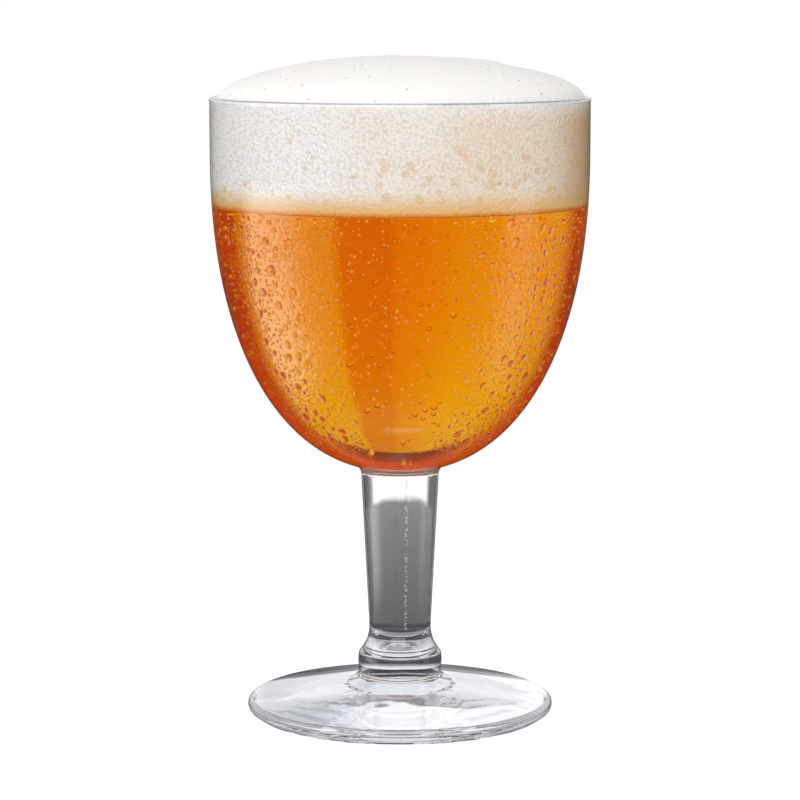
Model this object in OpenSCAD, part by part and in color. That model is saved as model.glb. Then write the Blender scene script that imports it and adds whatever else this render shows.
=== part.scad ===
// Chalice beer glass with its serving: a wide bowl, a tapered stem, a flared knop and a round foot,
// filled with beer under a domed head of foam, with beads of condensation on the outside.
// Millimetres, +Z up. The origin is the centre of the underside of the foot.

/* [Foot] */
// Outside diameter of the foot
foot_d = 73.6; // [60:0.2:84]
// Height of the foot from the table to its seat under the knop
foot_h = 10; // [8:0.1:14]
// Height of the rolled outer edge of the foot
foot_edge_h = 3.2; // [2.4:0.1:4.4]
// Height of the bearing ring that the foot stands on
bearing_ring_h = 0.5; // [0.3:0.05:1]
// Inset of the bearing ring from the outer edge
bearing_ring_inset = 1.8; // [1.2:0.1:3]
// Width of the bearing ring
bearing_ring_w = 3.5; // [2.5:0.1:6]
// Rise of the hollow underside from the bearing ring to the recess in its middle
hollow_h = 3.4; // [2:0.1:4.2]
// Radius of the fillet between the foot and the knop
foot_fillet_r = 1.4; // [0.8:0.1:2]
// Diameter of the recess under the foot, at its mouth
punt_mouth_d = 23.8; // [18:0.2:26]
// Diameter of the recess at its ceiling
punt_ceiling_d = 13.2; // [9:0.2:16]
// Depth of the recess
punt_h = 1.7; // [1:0.1:2.4]
// Width of the level land round the mouth of the recess
punt_land = 1; // [0.6:0.1:2]
// Number of flats round the wall of the recess
punt_flats = 16; // [13:1:24]

/* [Knop] */
// Largest diameter of the knop
knop_d = 20.2; // [18:0.1:24]
// Height of the upright band of the knop
knop_band_h = 4.6; // [3:0.1:7]
// How far the band bulges between its edges
knop_bulge = 0.2; // [0.1:0.05:0.5]
// Height of the flare that leads up from the band into the stem
knop_flare_h = 6.4; // [4:0.1:10]

/* [Stem] */
// Length of the stem between the knop and the bowl
stem_h = 37; // [25:0.5:60]
// Diameter of the stem where it leaves the knop
stem_neck_d = 14.8; // [12:0.1:17]
// Diameter of the stem where it meets the bowl
stem_top_d = 18.6; // [15:0.1:21]
// How far the mould seams stand out from the stem
seam_proud = 0.12; // [0.05:0.01:0.3]
// Width of a mould seam
seam_w = 0.5; // [0.2:0.05:1]
// Direction of the first mould seam round the stem, in degrees
seam_az = -80; // [-180:5:180]

/* [Bowl] */
// Outside diameter of the bowl at its straight upper wall
bowl_d = 90; // [74:0.5:110]
// Height of the straight wall under the rim
bowl_wall_h = 12.3; // [6:0.1:30]
// Depth of the rounded part of the bowl
bowl_curve_h = 77; // [60:0.5:95]
// Fullness of the curve: 2 is an ellipse, more is squarer
bowl_fullness = 2.27; // [2:0.01:2.8]
// Thickness of the wall below the rim
bowl_wall = 1.3; // [0.9:0.05:2.2]
// Thickness of the bowl's floor
bowl_floor = 3; // [2:0.1:5]
// Thickness of the fire-polished bead along the rim
rim_bead_d = 1.5; // [1.3:0.05:1.7]
// Radius of the fillet where the bowl draws in to the stem
bowl_fillet_r = 2.3; // [1.5:0.1:3]

/* [Serving] */
// Height of the beer above the floor of the bowl
beer_h = 61; // [20:0.5:64]
// Height of the foam's dome above the rim
dome_h = 9.9; // [3:0.1:16]
// Clearance between the serving and the glass, and between beer and foam
serving_gap = 0.25; // [0.15:0.05:0.4]

/* [Condensation] */
// Number of beads of water on the bowl
bead_count = 150; // [20:1:240]
// Diameter of the smallest beads
bead_min_d = 0.9; // [0.6:0.1:1.4]
// Diameter of the largest beads
bead_max_d = 2.6; // [1.5:0.1:3.2]
// Height of the lowest beads above the bottom of the bowl's curve
bead_low = 9; // [7:0.5:20]
// Height of the highest beads above the bottom of the bowl's curve
bead_high = 56; // [30:0.5:58]
// Height of a bead for each millimetre of its diameter
bead_rise = 0.34; // [0.2:0.01:0.45]
// Film of clearance under each bead
bead_gap = 0.02; // [0.01:0.01:0.05]

/* [Hidden] */
$fn = 64;

// Steps along the quarter curve of the bowl, and along the foam's dome
curve_steps = 36;
dome_steps = 20;
// Turn from one bead of water to the next, which spreads them evenly
golden_angle = 137.508;
// Fixed start of the row of bead sizes
bead_seed = 7;
// Overlap of a cut beyond the face that it opens through
cut = 1;

// Radii, from the inside out
bowl_r = bowl_d / 2;
cavity_r = bowl_r - bowl_wall;
serving_r = cavity_r - serving_gap;
knop_r = knop_d / 2;
knop_edge_r = knop_r - knop_bulge;
stem_neck_r = stem_neck_d / 2;
stem_top_r = stem_top_d / 2;
foot_r = foot_d / 2;
foot_roll_r = foot_edge_h / 2;
foot_roll_x = foot_r - foot_roll_r;
foot_edge_z = bearing_ring_h + foot_edge_h;
bearing_ring_r = foot_r - bearing_ring_inset;
hollow_r = bearing_ring_r - bearing_ring_w;

// The bowl's fillet leaves the stem upright and runs out along the bowl's curve
bowl_fillet_x = stem_top_r + bowl_fillet_r;
bowl_fillet_rise = curve_rise(bowl_fillet_x);
bowl_stub_h = bowl_fillet_r / sin(normal_dip(bowl_fillet_rise)) - bowl_fillet_rise;

// Heights of the seats, from the table up to the rim
knop_z = foot_h;
knop_edge_z = knop_z + knop_band_h;
stem_z = knop_edge_z + knop_flare_h;
bowl_z = stem_z + stem_h;
curve_bottom_z = bowl_z + bowl_stub_h;
curve_top_z = curve_bottom_z + bowl_curve_h;
rim_z = curve_top_z + bowl_wall_h;

// Depths of the curves of the cavity and of the serving inside it
cavity_curve_h = bowl_curve_h - bowl_floor;
serving_curve_h = cavity_curve_h - serving_gap;
floor_z = curve_top_z - cavity_curve_h;
beer_z = floor_z + beer_h;

// Radius of the arc through the middle and both edges of the knop's band
knop_band_arc_r = (pow(knop_band_h / 2, 2) + pow(knop_bulge, 2)) / (2 * knop_bulge);
// Radius of the arc that leaves the stem upright and reaches the band's edge
knop_flare_w = knop_edge_r - stem_neck_r;
knop_flare_r = (pow(knop_flare_w, 2) + pow(knop_flare_h, 2)) / (2 * knop_flare_w);
stem_taper = atan((stem_top_r - stem_neck_r) / stem_h);

glass_colour = [0.86, 0.9, 0.91, 0.35];
beer_colour = [0.72, 0.29, 0.03, 0.85];
foam_colour = [0.95, 0.92, 0.84];
water_colour = [0.84, 0.9, 0.95, 0.6];

// Point on a bowl-shaped curve: 0 degrees is its upright end, 90 degrees its bottom
function curve_point(radius, depth, angle) = [
    radius * pow(cos(angle), 2 / bowl_fullness),
    curve_top_z - depth * pow(sin(angle), 2 / bowl_fullness)
];

// Points of such a curve from its upright end down to its bottom
function curve_points(radius, depth) = [
    for (step = [0 : curve_steps]) curve_point(radius, depth, 90 * step / curve_steps)
];

// Half outline of a solid with the bowl's curve, closed along the axis up to a given height
function bowl_outline(radius, depth, top_z) =
    concat([[0, top_z], [radius, top_z]], curve_points(radius, depth));

// Points of the foam's dome from its top down to the rim
function dome_points() = [
    for (step = [0 : dome_steps])
        let (angle = 90 - 90 * step / dome_steps)
        [serving_r * cos(angle), rim_z + dome_h * sin(angle)]
];

// Height of the bowl's outside above the bottom of its curve, at a radius
function curve_rise(radius) =
    bowl_curve_h * (1 - pow(1 - pow(radius / bowl_r, bowl_fullness), 1 / bowl_fullness));

// Radius of the bowl's outside at a height above the bottom of its curve
function curve_radius(rise) =
    bowl_r * pow(1 - pow(1 - rise / bowl_curve_h, bowl_fullness), 1 / bowl_fullness);

// How far the outward normal of the bowl dips below the horizontal, at a height above the curve's bottom
function normal_dip(rise) = atan2(
    pow(1 - rise / bowl_curve_h, bowl_fullness - 1) / bowl_curve_h,
    pow(curve_radius(rise) / bowl_r, bowl_fullness - 1) / bowl_r
);

// Foot: a shallow cone that rolls over at its edge and stands on a bearing ring,
// hollowed underneath along the cone, with a faceted punt in the middle
module foot() {
    color(glass_colour)
    difference() {
        rotate_extrude() foot_profile();
        rotate_extrude() hollow_profile();
        translate([0, 0, hollow_h - cut]) punt_cutter();
    }
}

module hollow_profile() {
    polygon([
        [0, -cut],
        [hollow_r, -cut],
        [hollow_r, 0],
        [punt_mouth_d / 2 + punt_land, hollow_h],
        [0, hollow_h]
    ]);
}

module foot_profile() {
    fillet_x = knop_edge_r + foot_fillet_r;
    difference() {
        union() {
            square([bearing_ring_r, bearing_ring_h + foot_roll_r]);
            translate([foot_roll_x, bearing_ring_h + foot_roll_r]) circle(r = foot_roll_r);
            polygon([
                [0, bearing_ring_h + foot_roll_r],
                [foot_roll_x, bearing_ring_h + foot_roll_r],
                [foot_roll_x, foot_edge_z],
                [fillet_x, foot_h - foot_fillet_r],
                [fillet_x, foot_h],
                [0, foot_h]
            ]);
        }
        translate([fillet_x, foot_h]) circle(r = foot_fillet_r);
    }
}

// Tapered block with flat sides that presses the recess into the foot
module punt_cutter() {
    slope = (punt_mouth_d - punt_ceiling_d) / punt_h;
    start_d = punt_mouth_d + slope * cut;
    linear_extrude(height = punt_h + cut, scale = punt_ceiling_d / start_d)
        circle(d = start_d, $fn = punt_flats);
}

// Knop: an upright band with a slight bulge, and a hollow flare that leads up into the stem
module knop() {
    color(glass_colour)
    rotate_extrude() {
        intersection() {
            translate([0, knop_z]) square([knop_r + cut, knop_band_h]);
            translate([knop_r - knop_band_arc_r, knop_z + knop_band_h / 2]) circle(r = knop_band_arc_r);
        }
        difference() {
            translate([0, knop_edge_z]) square([knop_edge_r, knop_flare_h]);
            translate([stem_neck_r + knop_flare_r, stem_z]) circle(r = knop_flare_r);
        }
    }
}

// Stem: a solid taper with the two seams of its mould
module stem() {
    color(glass_colour) {
        translate([0, 0, stem_z]) cylinder(h = stem_h, r1 = stem_neck_r, r2 = stem_top_r);
        for (side = [0, 180]) rotate([0, 0, seam_az + side]) mould_seam();
    }
}

// Flat rib half sunk into the stem, leaning with its taper
module mould_seam() {
    seam_h = stem_h - 2 * seam_w;
    translate([(stem_neck_r + stem_top_r) / 2, 0, stem_z + stem_h / 2])
        rotate([0, stem_taper, 0])
            cube([2 * seam_proud, seam_w, seam_h], center = true);
}

// Bowl: a thin rounded cup with a beaded rim, drawn in to a short stub over the stem
module bowl() {
    color(glass_colour) {
        difference() {
            union() {
                rotate_extrude() polygon(bowl_outline(bowl_r, bowl_curve_h, rim_z - rim_bead_d / 2));
                rotate_extrude() bowl_stub_profile();
            }
            rotate_extrude() polygon(bowl_outline(cavity_r, cavity_curve_h, rim_z));
        }
        rotate_extrude()
            translate([bowl_r - bowl_wall / 2, rim_z - rim_bead_d / 2])
                circle(d = rim_bead_d);
    }
}

module bowl_stub_profile() {
    difference() {
        translate([0, bowl_z]) square([bowl_fillet_x, bowl_stub_h + bowl_fillet_rise + bowl_floor / 4]);
        translate([bowl_fillet_x, bowl_z]) circle(r = bowl_fillet_r);
    }
}

// Beer: fills the bowl's hollow up to the beer line
module beer() {
    color(beer_colour)
    rotate_extrude() intersection() {
        serving_profile();
        square([bowl_r, beer_z]);
    }
}

// Foam head: fills the bowl from the beer line to the rim and domes above it
module foam_head() {
    color(foam_colour)
    rotate_extrude() difference() {
        serving_profile();
        square([bowl_r, beer_z + serving_gap]);
    }
}

// Half outline of the whole serving, from the foam's top down to the floor of the bowl
module serving_profile() {
    polygon(concat(dome_points(), curve_points(serving_r, serving_curve_h)));
}

// Condensation: beads of water spread over the outside of the bowl
module condensation() {
    sizes = rands(bead_min_d, bead_max_d, bead_count, bead_seed);
    color(water_colour)
    for (i = [0 : bead_count - 1]) {
        rise = bead_low + (bead_high - bead_low) * (i + 0.5) / bead_count;
        rotate([0, 0, golden_angle * i])
            translate([curve_radius(rise), 0, curve_bottom_z + rise])
                rotate([0, 90 + normal_dip(rise), 0])
                    translate([0, 0, bead_gap])
                        water_bead(sizes[i]);
    }
}

// One bead: a cap of a sphere on a flat base
module water_bead(d) {
    rise = bead_rise * d;
    ball_r = (pow(d / 2, 2) + pow(rise, 2)) / (2 * rise);
    rotate_extrude() intersection() {
        translate([0, rise - ball_r]) circle(r = ball_r);
        square([d, rise]);
    }
}

foot();
knop();
stem();
bowl();
beer();
foam_head();
condensation();
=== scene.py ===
"""Chalice beer glass with its serving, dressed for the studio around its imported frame.

Every piece is in metres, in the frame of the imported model: +Z up, origin under the middle of the foot.
"""
from __future__ import annotations

import logging
import math
import random
from collections.abc import Sequence
from dataclasses import dataclass, replace
from enum import Enum, IntEnum
from typing import NamedTuple

import bmesh
import bpy
from mathutils import Matrix, Vector, noise

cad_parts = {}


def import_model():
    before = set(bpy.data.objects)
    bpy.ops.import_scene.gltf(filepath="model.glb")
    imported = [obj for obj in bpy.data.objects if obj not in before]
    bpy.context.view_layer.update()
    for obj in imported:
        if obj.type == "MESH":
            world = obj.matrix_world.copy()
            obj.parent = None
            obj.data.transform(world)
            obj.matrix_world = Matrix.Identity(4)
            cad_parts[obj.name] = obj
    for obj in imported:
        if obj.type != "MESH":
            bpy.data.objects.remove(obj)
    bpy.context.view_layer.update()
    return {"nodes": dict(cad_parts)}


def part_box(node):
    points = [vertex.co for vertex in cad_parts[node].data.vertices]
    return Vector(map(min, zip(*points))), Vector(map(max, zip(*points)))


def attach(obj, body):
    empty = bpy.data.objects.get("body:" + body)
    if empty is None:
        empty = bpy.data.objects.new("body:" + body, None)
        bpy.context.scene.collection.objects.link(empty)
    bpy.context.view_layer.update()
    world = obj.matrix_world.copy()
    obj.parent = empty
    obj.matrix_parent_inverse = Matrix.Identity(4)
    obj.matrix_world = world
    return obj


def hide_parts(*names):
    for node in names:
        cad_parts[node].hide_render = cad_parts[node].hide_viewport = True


MM = 0.001
LOG = logging.getLogger("chalice")

# Depth that the serving and the beads reach into the glass, so that no film of air is left between them
WETTING = 0.03 * MM
# Steps round a turned piece: the mould seams of the stem fall on whole steps
TURN_STEPS = 144
# Points nearer than this are one point
WELD = 0.001 * MM
# Refraction of soda-lime glass
GLASS_IOR = 1.517
# Surfaces that light has met: none, or those of the stem, of the drink, or of the drink and a bead of water
NONE_YET = 0.5
THROUGH_STEM = 2.5
THROUGH_DRINK = 4.5
THROUGH_BEAD = 6.5
WHITE = (1.0, 1.0, 1.0, 1.0)
# Bounces that light may take
LIGHT_BOUNCES = 32
# Blender's name for a span that sets out and arrives gently
EASED = "SMOOTHSTEP"

Socket = bpy.types.NodeSocket
Flow = bpy.types.Node | Socket
Colour = tuple[float, float, float, float]
Outline = list[tuple[float, float]]


class Body(Enum):
    """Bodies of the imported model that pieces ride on."""

    GLASS = "glass"
    BEER = "beer"
    FOAM = "foam"


class Slot(Enum):
    """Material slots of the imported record."""

    GLASS = "glass"
    BEER = "beer"
    FOAM = "foam"
    WATER = "water"


class Faces(IntEnum):
    """Material numbers of faces that don't have their piece's first finish."""

    SEAT = 1
    SPECIAL = 2
    POLISHED = 3
    CLOUDED = 4


class Span(NamedTuple):
    """A ramp, from a low value at its start to a high one at its end."""

    start: float
    end: float
    low: float = 0.0
    high: float = 1.0


def linear(code: str) -> Colour:
    """Turn an sRGB hex colour into the linear colour that shaders take.

    Args:
        code: colour as "#RRGGBB".

    Returns:
        Linear red, green and blue, and full opacity.
    """
    channels = [int(code[i:i + 2], 16) / 255 for i in (1, 3, 5)]
    red, green, blue = [c / 12.92 if c <= 0.04045 else ((c + 0.055) / 1.055) ** 2.4 for c in channels]
    return red, green, blue, 1.0


@dataclass(frozen=True)
class Graph:
    """A node tree under construction."""

    tree: bpy.types.NodeTree

    def add(self, kind: str, inputs: dict | Sequence = (), **settings: object) -> bpy.types.Node:
        """Add one node, set it up and fill or link its inputs.

        Args:
            kind: Blender's type name of the node, without its first part.
            inputs: constants, sockets and nodes, in order or by input name or number. A node stands for
                the first output that it uses.
            settings: the node's own properties.

        Returns:
            The new node.
        """
        node = self.tree.nodes.new("ShaderNode" + kind)
        for name, value in settings.items():
            setattr(node, name, value)
        for key, value in (inputs if isinstance(inputs, dict) else dict(enumerate(inputs))).items():
            if isinstance(value, bpy.types.Node):
                value = next(socket for socket in value.outputs if socket.enabled)
            if isinstance(value, Socket):
                self.tree.links.new(value, node.inputs[key])
            else:
                node.inputs[key].default_value = value
        return node

    def bearing(self, vector: Flow) -> bpy.types.bpy_prop_collection:
        """X, Y and Z of a vector's level direction."""
        level = self.add("VectorMath", [vector, (1, 1, 0)], operation="MULTIPLY")
        return self.add("SeparateXYZ", [self.add("VectorMath", [level], operation="NORMALIZE")]).outputs

    def all_of(self, share: Flow, *others: Flow | float) -> Flow:
        """Let shares hold together, so that each takes its part of what the ones before leave.

        Args:
            share: the first share.
            others: the shares after it.

        Returns:
            What is left.
        """
        for other in others:
            share = self.add("Math", [share, other], operation="MULTIPLY")
        return share

    def within(self, value: Flow, *spans: Span) -> Flow:
        """How far a number has come along several eased spans, all held together."""
        eased = [self.add("MapRange", [value, *span], interpolation_type=EASED) for span in spans]
        return self.all_of(*eased)

    def discs(self, point: Flow, spacing: float, size: Span) -> tuple[Flow, Flow]:
        """Discs of random size, one in each packed cell.

        Args:
            point: point of the piece.
            spacing: how far apart cells are.
            size: radius in cells for a draw of 0 to 1.

        Returns:
            How far inside a disc's edge a point lies, in cells, and the cell's own draw.
        """
        cells = self.add("TexVoronoi", {"Vector": point, "Scale": 1 / spacing})
        draws = self.add("SeparateColor", [cells.outputs["Color"]]).outputs
        radius = self.add("MapRange", [draws["Red"], *size])
        return self.add("Math", [radius, cells], operation="SUBTRACT"), draws["Green"]


def new_material(name: str) -> tuple[bpy.types.Material, Graph]:
    """Make a material with an empty graph.

    Args:
        name: name of the material.

    Returns:
        The material and its graph.
    """
    material = bpy.data.materials.new(name)
    material.use_nodes = True
    material.node_tree.nodes.clear()
    return material, Graph(material.node_tree)


class Finish:
    """A finish that pieces are given as a material."""

    name: str

    def paint(self, graph: Graph) -> dict:
        """Build the finish in an empty graph, and return what it shows, by input of the output node."""
        raise NotImplementedError

    def material(self) -> bpy.types.Material:
        """Make a material of the finish.

        Returns:
            The material.
        """
        material, graph = new_material(self.name)
        graph.add("OutputMaterial", self.paint(graph))
        return material


@dataclass(frozen=True)
class ClearFinish(Finish):
    """A clear and even finish without a pattern."""

    name: str
    tint: str
    ior: float = GLASS_IOR
    gloss: str = "#FFFFFF"

    def inputs(self) -> dict:
        """Inputs of the principled surface."""
        return {"Base Color": linear(self.tint), "Specular Tint": linear(self.gloss), "IOR": self.ior,
                "Roughness": 0.0, "Transmission Weight": 1.0}

    def paint(self, graph: Graph) -> dict:
        """Build the finish, and return its surface."""
        return {"Surface": graph.add("BsdfPrincipled", self.inputs())}


# The fire-polished rim is seen along the wall, so the glass's own blue-grey gathers in it
POLISHED_RIM = ClearFinish("polished_rim", "#7D8296")
# Glass with drink against it is wet through, so hardly any gloss is left on that side
WETTED_GLASS = ClearFinish("wetted_glass", "#FFFFFF", gloss="#202020")
# Beads of plain water are round and glossy, a small lens each
DEW_WATER = ClearFinish("dew_water", "#FDFEFE", 1.333, "#808080")


@dataclass(frozen=True)
class SodaLimeGlass(Finish):
    """Clear soda-lime glass, pressed and fire-polished: a hard, even gloss with a trace of grey."""

    name: str
    tint: str
    # Painted shade at the edges: the darker tint that glass takes when seen edge on
    painted_edge_shade: str | None = None
    edge_blend: float = 0.35
    edge_span: Span = Span(0.22, 0.7)
    ripple_spacing: float = 7.0 * MM
    ripple_height: float = 0.03 * MM

    def paint(self, graph: Graph) -> dict:
        """Build the finish, with the faint ripple that a mould leaves in pressed glass.

        Args:
            graph: graph of the material.

        Returns:
            Its surface.
        """
        inputs = ClearFinish(self.name, self.tint).inputs()
        # Painted shade: glass seen edge on is tinted darker, which draws its dark edges
        if self.painted_edge_shade:
            facing = graph.add("LayerWeight", {"Blend": self.edge_blend}).outputs["Facing"]
            edge = graph.add("MapRange", [facing, *self.edge_span], interpolation_type=EASED)
            tints = {0: edge, 6: linear(self.tint), 7: linear(self.painted_edge_shade)}
            inputs["Base Color"] = graph.add("Mix", tints, data_type="RGBA")
        point = graph.add("TexCoord").outputs["Object"]
        ripple = graph.add("TexNoise", {"Vector": point, "Scale": 1 / self.ripple_spacing, "Detail": 1.0})
        relief = {"Height": ripple, "Distance": self.ripple_height, "Strength": 1.0}
        inputs["Normal"] = graph.add("Bump", relief)
        return {"Surface": graph.add("BsdfPrincipled", inputs)}


@dataclass(frozen=True)
class MouldSeam(Finish):
    """The seam where two halves of a mould met: grains left in the skin of the glass catch the light."""

    name: str = "mould_seam"
    tint: str = "#F4F6FA"
    grain: float = 0.5 * MM
    grain_span: Span = Span(0.46, 0.66, 1.0, 0.5)
    roughness: float = 0.05

    def paint(self, graph: Graph) -> dict:
        """Build the finish: clear glass that turns milky where grains sit.

        Args:
            graph: graph of the material.

        Returns:
            Its surface.
        """
        point = graph.add("TexCoord").outputs["Object"]
        grains = graph.add("TexNoise", {"Vector": point, "Scale": 1 / self.grain, "Detail": 2.0})
        clear = graph.add("MapRange", [grains, *self.grain_span], interpolation_type=EASED)
        return {"Surface": graph.add("BsdfPrincipled", {
            "Base Color": linear(self.tint), "Roughness": self.roughness, "IOR": GLASS_IOR,
            "Transmission Weight": clear,
        })}


@dataclass(frozen=True)
class MistedGlass(Finish):
    """Blown glass with a chilled drink inside: dew too fine to see as drops veils its gloss in drifts."""

    beer_line: float
    name: str = "misted_glass"
    tint: str = "#FDFEFD"
    dew_spacing: float = 0.9 * MM
    dew_height: float = 0.2 * MM
    patch_spacing: float = 14 * MM
    patch_span: Span = Span(0.3, 0.62, 0.35)
    near_span: Span = Span(0.31, 0.42)
    far_span: Span = Span(0.93, 0.74, 0.06)
    front_span: Span = Span(0.2, -0.1, 0.05)
    thick_span: Span = Span(0.46, 0.66, 0.12)
    haze: float = 0.004
    veil: float = 0.09
    veil_roughness: float = 0.3
    veil_ior: float = 1.33
    fade: float = 9 * MM

    def paint(self, graph: Graph) -> dict:
        """Build the finish: clear glass under a wet veil that thins out towards the beer line.

        Args:
            graph: graph of the material.

        Returns:
            Its surface.
        """
        point = graph.add("TexCoord").outputs["Object"]
        height = graph.add("SeparateXYZ", [point]).outputs["Z"]
        across, back, _ = graph.bearing(point)
        aside = graph.add("Math", [across], operation="ABSOLUTE")
        patches = graph.add("TexNoise", {"Vector": point, "Scale": 1 / self.patch_spacing, "Detail": 3.0})
        chill_span = Span(self.beer_line, self.beer_line - self.fade)
        chilled, patchy, front, thick = [
            graph.add("MapRange", [value, *span], interpolation_type=EASED)
            for value, span in ((height, chill_span), (patches, self.patch_span), (back, self.front_span),
                                (aside, self.thick_span))]
        # Drifts stand left and right of the front and the back, with less on the shaded back
        cover = graph.all_of(chilled, graph.within(aside, self.near_span, self.far_span), patchy, front)
        # The veil is thickest where the wall turns away to the side
        veil = graph.all_of(cover, thick, self.veil)
        dew = graph.add("TexVoronoi", {"Vector": point, "Scale": 1 / self.dew_spacing}, feature="SMOOTH_F1")
        relief = {"Height": dew, "Distance": self.dew_height, "Strength": cover}
        return {"Surface": graph.add("BsdfPrincipled", {
            "Base Color": linear(self.tint), "Roughness": 0.0, "IOR": GLASS_IOR,
            "Coat Roughness": self.veil_roughness, "Coat IOR": self.veil_ior, "Coat Weight": veil,
            "Normal": graph.add("Bump", relief, invert=True),
            "Transmission Weight": graph.add("MapRange", [cover, 0.0, 1.0, 1.0, 1.0 - self.haze]),
        })}


@dataclass(frozen=True)
class CloudedFloor(Finish):
    """The bowl's floor, clouded where the stem was fused on: a pale matt spot at the head of the stem."""

    name: str = "clouded_floor"
    pale: str = "#F4F2EE"
    dull: str = "#E4E0DA"
    cloud_spacing: float = 4 * MM

    def paint(self, graph: Graph) -> dict:
        """Build the finish, a little uneven.

        Args:
            graph: graph of the material.

        Returns:
            Its surface.
        """
        point = graph.add("TexCoord").outputs["Object"]
        cloud = graph.add("TexNoise", {"Vector": point, "Scale": 1 / self.cloud_spacing, "Detail": 2.0})
        tone = graph.add("Mix", {0: cloud, 6: linear(self.pale), 7: linear(self.dull)}, data_type="RGBA")
        matt = {"Base Color": tone, "Roughness": 1.0, "Specular IOR Level": 0.0}
        return {"Surface": graph.add("BsdfPrincipled", matt)}


@dataclass(frozen=True)
class FusedJoint(Finish):
    """The seam inside the glass where two hot gathers ran together: nothing of it is left to see."""

    name: str = "fused_joint"

    def paint(self, graph: Graph) -> dict:
        """Build the finish, and return its surface, which lets every ray pass straight on."""
        return {"Surface": graph.add("BsdfTransparent")}


@dataclass(frozen=True)
class AmberBeer(Finish):
    """Filtered amber beer: a clear liquid that deepens from gold to red-brown with its depth."""

    name: str = "amber_beer"
    skin: ClearFinish = ClearFinish("beer_skin", "#FFFFFF", 1.345, "#202020")
    depth_colour: Colour = (0.978, 0.812, 0.0, 1.0)
    depth_density: float = 110.0

    def paint(self, graph: Graph) -> dict:
        """Build the finish: clear at its skin, coloured by the depth that light passes through.

        Args:
            graph: graph of the material.

        Returns:
            Its surface and its inside.
        """
        depth = {"Color": self.depth_colour, "Density": self.depth_density}
        return self.skin.paint(graph) | {"Volume": graph.add("VolumeAbsorption", depth)}


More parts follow.
